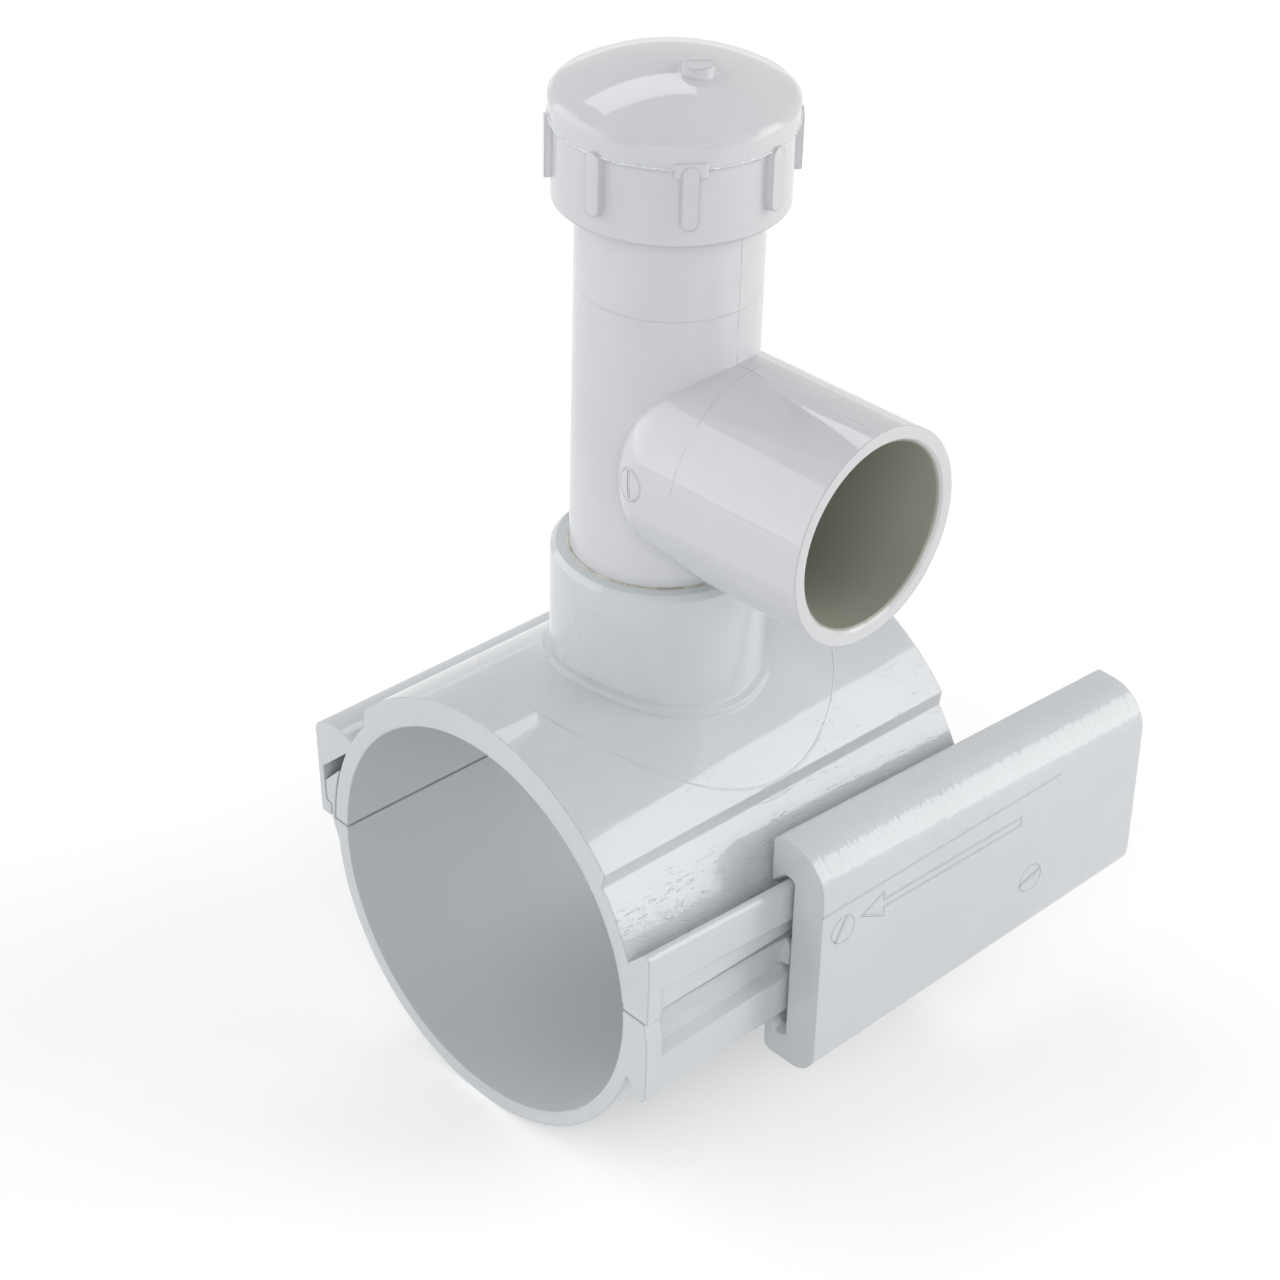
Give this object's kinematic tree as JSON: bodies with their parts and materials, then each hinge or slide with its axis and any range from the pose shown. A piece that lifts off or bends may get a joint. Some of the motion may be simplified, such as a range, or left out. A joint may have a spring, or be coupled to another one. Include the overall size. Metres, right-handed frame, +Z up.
{
  "type": "tapping saddle",
  "caption": "Plastic pipe saddle for tapping a main: two hinged half shells, a sliding wedge that locks them, and a capped tower with a side outlet socket.",
  "frame": {"origin": "on the axis of the pipe bore, straight below the axis of the tower", "axes": "+X along the pipe, +Z up the tower, side outlet towards -Y, hook joint towards +Y"},
  "size_m": [0.0953, 0.079, 0.1579],
  "materials": {
    "saddle_plastic": "moulded light grey, cool, glossy",
    "tower_plastic": "moulded light grey, a little warmer, glossy",
    "seal_rubber": "dark, matt"
  },
  "bodies": {
    "root": {"upper_saddle": "saddle_plastic", "tower": "tower_plastic", "saddle_seal": "seal_rubber"},
    "lower_half": {"lower_saddle": "saddle_plastic"},
    "wedge": {"wedge_lock": "saddle_plastic"},
    "seal_carrier": {"cap_seal": "seal_rubber"},
    "screw_cap": {"cap": "tower_plastic"}
  },
  "joints": [
    {"name": "wedge_slide", "type": "slide", "parent": "root", "child": "wedge", "axis": [0.9994, 0, -0.0349], "range_m": [-0.0269, 0.045]},
    {"name": "lower_hinge", "type": "hinge", "parent": "root", "child": "lower_half", "pos_m": [0, 0.0338, 0.0035], "axis": [1, 0, 0], "range_deg": [-0.3, 0.5]},
    {"name": "cap_lift", "type": "slide", "parent": "root", "child": "seal_carrier", "axis": [0, 0, 1], "range_m": [0, 0.0119]},
    {"name": "cap_turn", "type": "hinge", "parent": "seal_carrier", "child": "screw_cap", "pos_m": [0, 0, 0.112], "axis": [0, 0, 1], "range_deg": [0, 2340]}
  ],
  "couplings": [
    {"joint": "lower_hinge", "follows": "wedge_slide", "rad_per_m": 0.15},
    {"joint": "cap_lift", "follows": "cap_turn", "m_per_rad": 0.00028871}
  ]
}
